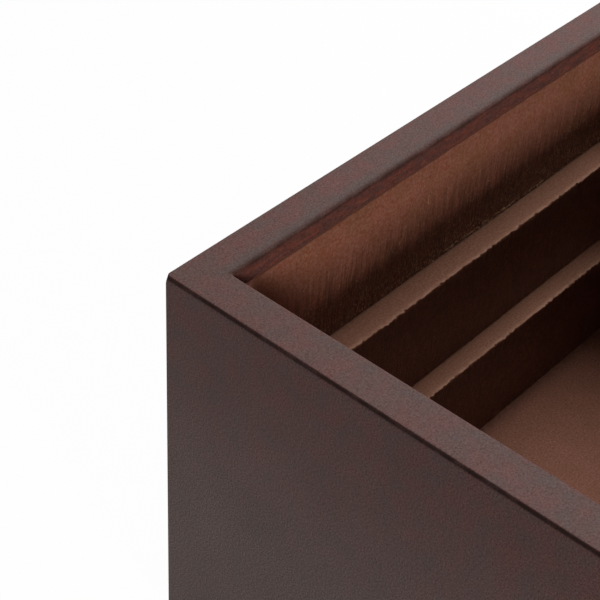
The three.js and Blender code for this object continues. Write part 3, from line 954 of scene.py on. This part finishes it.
seat_section = (
    Turning(0, CUT_FROM).to(TUBE_RADIUS + PLAY, CUT_FROM).to(TUBE_RADIUS + PLAY, SEAT)
    .to(FLANGE_RADIUS + PLAY, SEAT).to(FLANGE_RADIUS + PLAY, CUT_TO).to(0, CUT_TO)
)
seat_cut = bake(turn("seat_cut", seat_section, TUB_RESIN, 64, **AT_THE_DRAINS), "seat_cut")
run_tree(tub_sheet, SWEEP, length=LENGTH, width=WIDTH, finish=TUB_RESIN)
run_tree(tub_sheet, HANDWORK, finish=TUB_RESIN)
carve(tub_sheet, seat_cut)
tub_skin = bake(tub_sheet, "tub_skin")
bpy.data.objects.remove(seat_cut)

# %% [markdown]
# ## Fibre strands
# Brushing combs the glass fibre down the wall. Above each ledge the resin ran thin, so a fringe of
# short pale strands stands out there, most of all on the upper wall, and longer ones lie along the
# creases. They are scattered on the tub's own surface by its weights, because a hair drawn by hand
# would never follow the wall. Each is a bowed hair, turned to lie in the wall.

# %% Make the tree that scatters strands
def draw_strand_tree():
    """Scatters hairs by a weight: standing ones where Lie is 0, lying ones where it is 1."""
    tree, given = start_tree("strands_on_a_wall", {
        "Density": 44000.0, "Strand Length": 0.0055, "Thickness": 0.0005, "Bow": 0.0013, "Tilt": 0.8,
        "Lie": 0.0, "Seed": 5})

    def chance(low, high, number):
        """A random number for each strand, different for each use of it."""
        return add(tree, "FunctionNodeRandomValue", {
            "Min": low, "Max": high, "Seed": total(tree, given["Seed"], float(number))})

    def share(first, second):
        """First for strands that stand, second for strands that lie."""
        return add(tree, "ShaderNodeMix", (given["Lie"], first, second))

    weight = share(named(tree, "strands"), named(tree, "clot"))
    points = add(tree, "GeometryNodeDistributePointsOnFaces", {
        "Mesh": given["Geometry"], "Density": product(tree, weight, given["Density"]),
        "Seed": given["Seed"]})
    normal = points.node.outputs["Normal"]
    level = vector(tree, "NORMALIZE", vector(tree, "CROSS_PRODUCT", (0.0, 0.0, 1.0), normal))
    tilt = chance(product(tree, given["Tilt"], -1.0), given["Tilt"], 1)
    sideways = total(tree, given["Lie"], tilt)
    upright = calc(tree, "SUBTRACT", share(1.0, 0.0), product(tree, given["Lie"], chance(-0.2, 0.2, 2)))
    aim = vector(tree, "ADD", vector(tree, "SCALE", level, sideways), point(tree, 0.0, 0.0, upright))
    aimed = add(tree, "FunctionNodeAlignRotationToVector", {"Vector": aim}, axis="Z")
    side = calc(tree, "SIGN", chance(-1.0, 1.0, 3))
    flat = add(tree, "FunctionNodeAlignRotationToVector", {
        "Rotation": aimed, "Vector": vector(tree, "SCALE", level, side)}, axis="X", pivot_axis="Z")
    half = product(tree, given["Strand Length"], 0.5)
    line = add(tree, "GeometryNodeCurveQuadraticBezier", {
        "Resolution": 3,
        "Start": point(tree, 0.0, 0.0, product(tree, half, -1.0)),
        "Middle": point(tree, given["Bow"], 0.0, 0.0),
        "End": point(tree, 0.0, 0.0, half)})
    along = add(tree, "GeometryNodeSplineParameter")
    from_middle = calc(tree, "ABSOLUTE", calc(tree, "SUBTRACT", along, 0.5))
    taper = add(tree, "ShaderNodeMapRange", {
        "Value": from_middle, "From Min": 0.2, "From Max": 0.5, "To Min": 1.0, "To Max": 0.3})
    ring = add(tree, "GeometryNodeCurvePrimitiveCircle", {"Resolution": 3, "Radius": given["Thickness"]})
    strand = add(tree, "GeometryNodeCurveToMesh", {
        "Curve": line, "Profile Curve": ring, "Scale": taper, "Fill Caps": True})
    size = product(tree, chance(0.3, 1.25, 4), total(tree, product(tree, weight, 0.6), 0.4))
    scattered = add(tree, "GeometryNodeInstanceOnPoints", {
        "Points": points, "Instance": strand, "Rotation": flat, "Scale": size})
    return end_tree(tree, scattered, given)


STRANDS = draw_strand_tree()
print("The strand tree has named sizes, a tilt and a seed.")

# %% [markdown]
# ### Both sorts of strand
# The same tree makes both. Its own values are those of the standing strands, and the lying ones are
# twice as long, closer together and of wetter fibre.

# %% Scatter the strands
def scatter(name, tree, finish, **sizes):
    """Runs a scattering tree over a copy of the tub."""
    holder = show(tub_skin.data.copy(), name + "_holder")
    run_tree(holder, tree, finish=finish, **sizes)
    return bake(holder, name)


standing_strands = scatter("standing_strands", STRANDS, FIBRE)
lying_strands = scatter("lying_strands", STRANDS, WET_FIBRE, density=80000.0, strand_length=0.012,
                        thickness=0.00055, bow=0.0015, tilt=0.35, lie=1.0, seed=11)

# %% [markdown]
# ## Crumbs in the creases
# Clotted resin and cut fibre lie in the creases, mostly in the upper one and more in some stretches
# than in others, as small pale lumps with dark gaps between them. There are many, so each is a ball
# of only twenty faces, drawn out along the wall.

# %% Scatter the crumbs
def turned_to(tree, direction):
    """A turn that points an instance's X axis along a direction."""
    return add(tree, "FunctionNodeAlignRotationToVector", {"Vector": direction}, axis="X")


def draw_crumb_tree():
    """Scatters drawn-out balls where clots are strongest."""
    tree, given = start_tree("crumbs_in_a_crease", {"Density": 70000.0, "Size": 0.0012, "Seed": 7})
    nook = calc(tree, "POWER", named(tree, "clot"), 3.0)
    points = add(tree, "GeometryNodeDistributePointsOnFaces", {
        "Mesh": given["Geometry"], "Density": product(tree, nook, given["Density"]), "Seed": given["Seed"]})
    facing = turned_to(tree, points.node.outputs["Normal"])
    chance = add(tree, "FunctionNodeRandomValue", {"Min": 0.5, "Max": 1.6, "Seed": given["Seed"]})
    size = product(tree, given["Size"], chance)
    ball = add(tree, "GeometryNodeMeshIcoSphere", {"Radius": 1.0, "Subdivisions": 1})
    drawn_out = add(tree, "GeometryNodeTransform", {"Geometry": ball, "Scale": (0.7, 1.5, 0.9)})
    scattered = add(tree, "GeometryNodeInstanceOnPoints", {
        "Points": points, "Instance": drawn_out, "Rotation": facing, "Scale": size})
    return end_tree(tree, scattered, given)


crease_crumbs = scatter("crease_crumbs", draw_crumb_tree(), CRUMBS)

# %% [markdown]
# ## Resin drips
# A few drops of resin hardened on the wall at the lower end of a thin run. Three of them show in the
# photograph, two half way down the upper wall and one near its foot, so those are placed, and the
# rest are left to chance. Both sorts take their shape from one function, each in its own tree.

# %% Shape a drop and set it on the wall
DROP_SIZES = {"Drop": 0.0012, "Run": 0.008, "Stand Out": 0.55}


def shape_drop(tree, given):
    """A flattened bead with a thin run of resin above it, set out to face +X."""
    ball = add(tree, "GeometryNodeMeshIcoSphere", {"Radius": 1.0, "Subdivisions": 2})
    drop, length = given["Drop"], given["Run"]
    thin = product(tree, drop, given["Stand Out"])
    bead_size = point(tree, thin, product(tree, drop, 0.9), drop)
    bead = add(tree, "GeometryNodeTransform", {"Geometry": ball, "Scale": bead_size})
    run_size = point(tree, product(tree, thin, 0.5), product(tree, drop, 0.45), length)
    run = add(tree, "GeometryNodeTransform", {
        "Geometry": ball, "Translation": point(tree, 0.0, 0.0, length), "Scale": run_size})
    both = tree.nodes.new("GeometryNodeJoinGeometry")
    tree.links.new(bead, both.inputs[0])
    tree.links.new(run, both.inputs[0])
    return both.outputs[0]


def draw_drip_tree():
    """Scatters drops over the risers."""
    tree, given = start_tree("drips_on_a_wall", {**DROP_SIZES, "Density": 18.0, "Seed": 4})
    points = add(tree, "GeometryNodeDistributePointsOnFaces", {
        "Mesh": given["Geometry"], "Density": product(tree, named(tree, "riser"), given["Density"]),
        "Seed": given["Seed"]})
    facing = turned_to(tree, points.node.outputs["Normal"])
    size = add(tree, "FunctionNodeRandomValue", {"Min": 0.5, "Max": 1.0, "Seed": given["Seed"]})
    scattered = add(tree, "GeometryNodeInstanceOnPoints", {
        "Points": points, "Instance": shape_drop(tree, given), "Rotation": facing, "Scale": size})
    return end_tree(tree, scattered, given)


def draw_placed_drip_tree():
    """Sets a drop at each point of a mesh, facing -Y."""
    tree, given = start_tree("drips_at_given_points", DROP_SIZES)
    placed = add(tree, "GeometryNodeInstanceOnPoints", {
        "Points": given["Geometry"], "Instance": shape_drop(tree, given),
        "Rotation": turned_to(tree, (0.0, -1.0, 0.0))})
    return end_tree(tree, placed, given)


FAR_WALL = WIDTH / 2 - UPPER_WALL * MM
SEEN_DRIPS = [(x, FAR_WALL, z) for x, z in ((-0.0971, 0.467), (-0.0568, 0.4551), (0.0804, 0.3699))]
resin_drips = scatter("resin_drips", draw_drip_tree(), TUB_RESIN)
drip_points = bpy.data.meshes.new("drip_points")
drip_points.from_pydata(SEEN_DRIPS, [], [])
drip_holder = show(drip_points, "seen_drips_holder")
run_tree(drip_holder, draw_placed_drip_tree(), finish=WET_FIBRE)
seen_drips = bake(drip_holder, "seen_drips")

# %% [markdown]
# ## Drain tubes
# Water leaves through two flanged tubes, which run from the tub's floor through the space
# below it and out of the base. One section is turned, and the tree sets it out at both drains. The
# flange has a shallow ring groove in its top, and the bore opens out to a cone that guides the plug.

# %% Turn the drain tubes
BORE = 12
TUBE_END = 12
EASE = 0.6
BORE_STARTS = FLOOR - 6
CONE_RADIUS = 14
GROOVE_OUTSIDE, GROOVE_INSIDE, GROOVE_DEPTH = 22.6, 21.2, 0.4

tube_section = (
    Turning(TUBE_RADIUS, TUBE_END + EASE)
    .to(TUBE_RADIUS, SEAT, 3)
    .to(FLANGE_RADIUS - EASE, SEAT)
    .bend(FLANGE_RADIUS, SEAT + EASE, "level")
    .to(FLANGE_RADIUS, FLOOR - EASE)
    .bend(FLANGE_RADIUS - EASE, FLOOR, "upright")
    .to(GROOVE_OUTSIDE, FLOOR, 2)
    .bend(GROOVE_OUTSIDE - GROOVE_DEPTH, FLOOR - GROOVE_DEPTH, "upright")
    .to(GROOVE_INSIDE + GROOVE_DEPTH, FLOOR - GROOVE_DEPTH)
    .bend(GROOVE_INSIDE, FLOOR, "upright")
    .to(CONE_RADIUS + 0.8, FLOOR, 3)
    .bend(CONE_RADIUS, FLOOR - EASE, "level")
    .to(BORE, BORE_STARTS, 3)
    .to(BORE, TUBE_END + EASE, 3)
    .bend(BORE + EASE, TUBE_END, "upright")
    .to(TUBE_RADIUS - EASE, TUBE_END)
)
tube_sheet = turn("drain_tubes", tube_section, DRAIN_PLASTIC, 64, closed=True, **AT_THE_DRAINS)
drain_tubes = bake(tube_sheet, "drain_tubes")

# %% [markdown]
# ## Drain plugs
# Each plug is one rubber moulding: a tapered stopper with two sealing ribs, a cap, and a round
# finger grip. The parts are turned, joined, remeshed finely and smoothed, so that the grip
# flows into the cap as moulded rubber does. There is one mesh for each body, because both plugs lift.

# %% Draw the stopper and the grip
STOPPER_FOOT = 33
STOPPER_TIP, STOPPER_NECK, STOPPER_THROAT = 10.8, 11.5, 13.6
RIBS = ((10.9, 36.2), (11.1, 39.2))
RIB_DEPTH, RIB_HALF = 0.5, 0.6
CAP_SEAT = FLOOR + PLAY
CAP_RADIUS, CAP_TOP, CAP_EASE = 17.9, 50.2, 0.7
GRIP_HEIGHT = 53.3 * MM
GRIP_RADIUS, GRIP_HALF, GRIP_EASE = 9.7, 2.4, 1.3

stopper_section = Turning(0, STOPPER_FOOT).to(STOPPER_TIP - 1, STOPPER_FOOT, 2)
stopper_section.bend(STOPPER_TIP, STOPPER_FOOT + 1, "level")
for radius, height in RIBS:
    stopper_section.to(radius, height - RIB_HALF).bend(radius + RIB_DEPTH, height, "level", 2)
    stopper_section.bend(radius, height + RIB_HALF, "upright", 2)
stopper_section.to(STOPPER_NECK, BORE_STARTS).to(STOPPER_THROAT, FLOOR).to(STOPPER_THROAT, CAP_SEAT)
stopper_section.to(CAP_RADIUS - CAP_EASE, CAP_SEAT).bend(CAP_RADIUS, CAP_SEAT + CAP_EASE, "level")
stopper_section.to(CAP_RADIUS, CAP_TOP - 0.9).bend(CAP_RADIUS - 1, CAP_TOP, "upright").to(0, CAP_TOP, 2)

grip_section = (
    Turning(0, -GRIP_HALF)
    .to(GRIP_RADIUS - GRIP_EASE, -GRIP_HALF, 2)
    .bend(GRIP_RADIUS, GRIP_EASE - GRIP_HALF, "level")
    .to(GRIP_RADIUS, GRIP_HALF - GRIP_EASE)
    .bend(GRIP_RADIUS - GRIP_EASE, GRIP_HALF, "upright")
    .to(7.2, GRIP_HALF).to(6.6, GRIP_HALF - 0.5).to(0, GRIP_HALF - 0.5, 2)
)
print(f"The stopper has {len(stopper_section.rows)} rows and the grip {len(grip_section.rows)}.")

# %% [markdown]
# ### One plug, twice
# The grip is turned about Z like everything else, then stood on edge. A voxel remesh melts it and the
# stopper into one skin, and a little smoothing takes the voxels' steps away. The finished plug is
# copied to both drains.

# %% Join and soften the plug, and copy it to both drains
VOXEL = 0.00045

grip = bake(turn("grip", grip_section, RUBBER, 48), "grip")
grip.data.transform(Matrix.Translation((0, 0, GRIP_HEIGHT)) @ Matrix.Rotation(math.pi / 2, 4, "X"))
plug_holder = turn("plug", stopper_section, RUBBER, 64)
carve(plug_holder, grip, "UNION")
remesh = plug_holder.modifiers.new("moulded", "REMESH")
remesh.mode = "VOXEL"
remesh.voxel_size = VOXEL
soften = plug_holder.modifiers.new("soften", "SMOOTH")
soften.factor = 0.5
soften.iterations = 4
plug = bake(plug_holder, "plug", crease=60)
bpy.data.objects.remove(grip)
plug_skins = []
for number, side in ((1, -1), (2, 1)):
    mesh = plug.data.copy()
    mesh.transform(Matrix.Translation((side * DRAIN_SPACING / 2, 0, 0)))
    mesh.materials.clear()
    mesh.materials.append(RUBBER)
    plug_skins.append(show(mesh, f"plug_{number}_skin"))
bpy.data.objects.remove(plug)

# %% [markdown]
# ## Rubber feet
# Four discs of rubber keep the base off the ground, so that water can run away. The underside has
# moulded tread rings and a socket that hides the head of the foot's screw. A ring is a groove in the
# turned section, so a loop adds all four.

# %% Turn the feet
FOOT_ROWS = {"row_length": 0.85, "row_width": 0.45, "per_row": 2, "rows": 2}
FOOT_TOP = 11.7
FOOT_RADIUS_BELOW, FOOT_RADIUS_ABOVE, FOOT_EASE = 27.5, 29.4, 0.7
SOCKET_RADIUS, SOCKET_DEPTH, SHANK_HOLE = 7, 5, 2.8
TREAD_RINGS = (11, 15, 19, 23)
TREAD_DEPTH = 0.9

foot_section = (
    Turning(FOOT_RADIUS_BELOW - FOOT_EASE, 0)
    .bend(FOOT_RADIUS_BELOW, FOOT_EASE, "level")
    .to(FOOT_RADIUS_ABOVE, FOOT_TOP - 1.1, 3)
    .bend(FOOT_RADIUS_ABOVE - 0.8, FOOT_TOP, "upright")
    .to(SHANK_HOLE, FOOT_TOP, 2)
    .to(SHANK_HOLE, SOCKET_DEPTH)
    .to(SOCKET_RADIUS, SOCKET_DEPTH)
    .to(SOCKET_RADIUS, EASE)
    .bend(SOCKET_RADIUS + EASE, 0, "upright")
)
for ring in TREAD_RINGS:
    foot_section.to(ring, 0).to(ring + 0.5, TREAD_DEPTH).to(ring + 1.3, TREAD_DEPTH).to(ring + 1.8, 0)
rubber_feet = bake(turn("rubber_feet", foot_section, RUBBER, 64, closed=True, **FOOT_ROWS), "rubber_feet")

# %% [markdown]
# ## Screws
# The screws have a low round head with a six-sided socket, and ridges for the thread above. A true
# helix would cost thousands of faces on a screw that hardly shows, so the thread is turned as plain
# rings. The socket is cut with a six-sided turning made by the same function.

# %% Turn the screws and cut their sockets
HEAD_RADIUS, HEAD_HEIGHT = 5, 3
CREST, ROOT, PITCH = 2.5, 2.1, 1.25
KEY_RADIUS = 1.9
SIDE_ROWS = {"row_length": 0.76, "row_width": 0.555, "per_row": 3, "rows": 2}
END_ROW = {"row_length": 0.955, "per_row": 2}


def make_screws(name, seat, length, places):
    """Screws whose heads hang below the seat, with this length above it, all in millimetres."""
    tip = seat + length - 0.1
    section = Turning(0, seat - HEAD_HEIGHT).to(3.6, seat - HEAD_HEIGHT)
    section.bend(HEAD_RADIUS, seat - 1.4, "level").to(HEAD_RADIUS, seat).to(CREST, seat)
    for turns in range(int(length / PITCH) - 1):
        section.to(CREST, seat + 0.9 + PITCH * turns).to(ROOT, seat + 1.5 + PITCH * turns)
    section.to(ROOT, seat + length - 1.5).to(0.9, tip).to(0, tip)
    socket_section = Turning(0, seat - 5).to(KEY_RADIUS, seat - 5)
    socket_section.to(KEY_RADIUS, seat - 1.3).to(0, seat - 0.9)
    socket = bake(turn(name + "_socket", socket_section, STEEL, 6, **places), name + "_socket")
    holder = turn(name, section, STEEL, 32, **places)
    carve(holder, socket)
    made = bake(holder, name)
    bpy.data.objects.remove(socket)
    return made


foot_screws = make_screws("foot_screws", 4.7, 16.3, FOOT_ROWS)
side_screws = make_screws("side_screws", 15, 14.3, SIDE_ROWS)
end_screws = make_screws("end_screws", 15, 14.3, END_ROW)

# %% [markdown]
# ## The measured pieces that stay
# The base board and its three bearers already have their real shape, so they keep the measured
# model's meshes, and only get a finish.

# %% Finish the board and bearers
for name in ("base_panel", "floor_bearer_1", "floor_bearer_2", "floor_bearer_3"):
    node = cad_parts[name]
    for material_slot in node.material_slots:
        material_slot.material = BASE_BOARD
print("Base board and bearers finished.")

# %% [markdown]
# ## Riding on the bodies
# Every new piece follows a body of the measured model. Each plug lifts out on its own body, and
# everything else stays with the planter.

# %% Tie each piece to its body
def numbered(name, count):
    """The measured model's names for several alike pieces."""
    return [f"{name}_{number}" for number in range(1, count + 1)]


PIECES = [
    (shell_skin, "planter", "shell_finish", ["outer_shell"]),
    (tub_skin, "planter", "tub_resin", ["inner_liner"]),
    (standing_strands, "planter", "tub_resin", []),
    (lying_strands, "planter", "tub_resin", []),
    (crease_crumbs, "planter", "tub_resin", []),
    (resin_drips, "planter", "tub_resin", []),
    (seen_drips, "planter", "tub_resin", []),
    (drain_tubes, "planter", "drain_plastic", numbered("drain_tube", 2)),
    (plug_skins[0], "plug_1", "black_rubber", ["drain_plug_1"]),
    (plug_skins[1], "plug_2", "black_rubber", ["drain_plug_2"]),
    (rubber_feet, "planter", "black_rubber", numbered("foot", 4)),
    (foot_screws, "planter", "screw_steel", numbered("foot_screw", 4)),
    (side_screws, "planter", "screw_steel", numbered("panel_screw", 6)),
    (end_screws, "planter", "screw_steel", ["panel_screw_7", "panel_screw_8"]),
]
for piece, body, slot, nodes in PIECES:
    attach(piece, body)
    if nodes:
        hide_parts(*nodes)
print(f"{len(PIECES)} new pieces ride on their bodies.")

# %% [markdown]
# ## Studio
# The light on top comes from one high softbox past the planter's far end. Its middle is a little
# behind the long wall that the camera sees, so only its near part reaches that wall, at a slant, and
# the wall stays dark while the ledges catch it all. A second softbox stands low and far off beside
# the planter, behind the camera's right. It lights the lip and the top of the upper wall: its rays
# slant over the near rims, so they reach no further down, and the corner next to the camera stays in
# shade. It is narrow for its distance, so the short rim's shadow ends on that wall in a fairly sharp
# edge.
# The floor and the world show white to the camera and to reflections, and stay quiet otherwise.

# %% Light the planter
def softbox(name, place, target, width, height, watts):
    """A lit rectangle that faces the target."""
    lamp = bpy.data.lights.new(name, "AREA")
    lamp.shape = "RECTANGLE"
    lamp.size, lamp.size_y, lamp.energy = width, height, watts
    made = bpy.data.objects.new(name, lamp)
    bpy.context.scene.collection.objects.link(made)
    made.location = place
    made.rotation_euler = (Vector(target) - Vector(place)).to_track_quat("-Z", "Y").to_euler()


KEY_TILT = math.radians(34)
KEY_DISTANCE = 4.0
KEY_TARGET = (0, 0.22, 0.4)
KEY_PLACE = (KEY_DISTANCE * math.sin(KEY_TILT), 0.61, 0.4 + KEY_DISTANCE * math.cos(KEY_TILT))
SIDE_TARGET = (-0.2, 0.25, 0.5)
SIDE_PLACE = (-2.38, -6.3, 1.82)
softbox("key", KEY_PLACE, KEY_TARGET, width=1.7, height=1.7, watts=160)
softbox("side", SIDE_PLACE, SIDE_TARGET, width=1.1, height=1.02, watts=400)
print("Two softboxes are set.")

# %% Make the floor and the surroundings
SHOWN_WHITE = 0.97
QUIET_SKY = 0.04
WHITE = (1.0, 1.0, 1.0, 1.0)
FLOOR_GREY = (0.8, 0.8, 0.8, 1.0)
FLOOR_HALF = 20
FLOOR_DROP = 0.0005


def seen(tree):
    """1 for rays from the camera, a reflection or a clear thing, and 0 for the light itself."""
    path = add(tree, "ShaderNodeLightPath").node
    return highest(tree, *(path.outputs[f"Is {kind} Ray"] for kind in ("Camera", "Glossy", "Transmission")))


world = bpy.data.worlds.new("studio")
bpy.context.scene.world = world
world.use_nodes = True
sky = world.node_tree
shown = sky.nodes["Background"]
shown.inputs["Color"].default_value = WHITE
shown.inputs["Strength"].default_value = 1.0
quiet = add(sky, "ShaderNodeBackground", (WHITE, QUIET_SKY))
mixed = add(sky, "ShaderNodeMixShader", (seen(sky), quiet, shown.outputs[0]))
sky.links.new(mixed, sky.nodes["World Output"].inputs[0])

floor_mesh = bpy.data.meshes.new("studio_floor")
floor_corners = [(x * FLOOR_HALF, y * FLOOR_HALF, -FLOOR_DROP) for x, y in CORNERS]
floor_mesh.from_pydata(floor_corners, [], [(0, 1, 2, 3)])
floor_paint = bpy.data.materials.new("pale_floor")
floor_paint.use_nodes = True
ground = floor_paint.node_tree
matt = ground.nodes["Principled BSDF"]
matt.inputs["Base Color"].default_value = FLOOR_GREY
matt.inputs["Roughness"].default_value = 1.0
matt.inputs["Specular IOR Level"].default_value = 0.0
white = add(ground, "ShaderNodeEmission", (WHITE, 1.0))
share = product(ground, seen(ground), SHOWN_WHITE)
mixed = add(ground, "ShaderNodeMixShader", (share, matt.outputs[0], white))
ground.links.new(mixed, ground.nodes["Material Output"].inputs[0])
floor_mesh.materials.append(floor_paint)
show(floor_mesh, "studio_floor")
bpy.context.scene.view_settings.view_transform = "Standard"
print("Floor and sky are white where they show.")
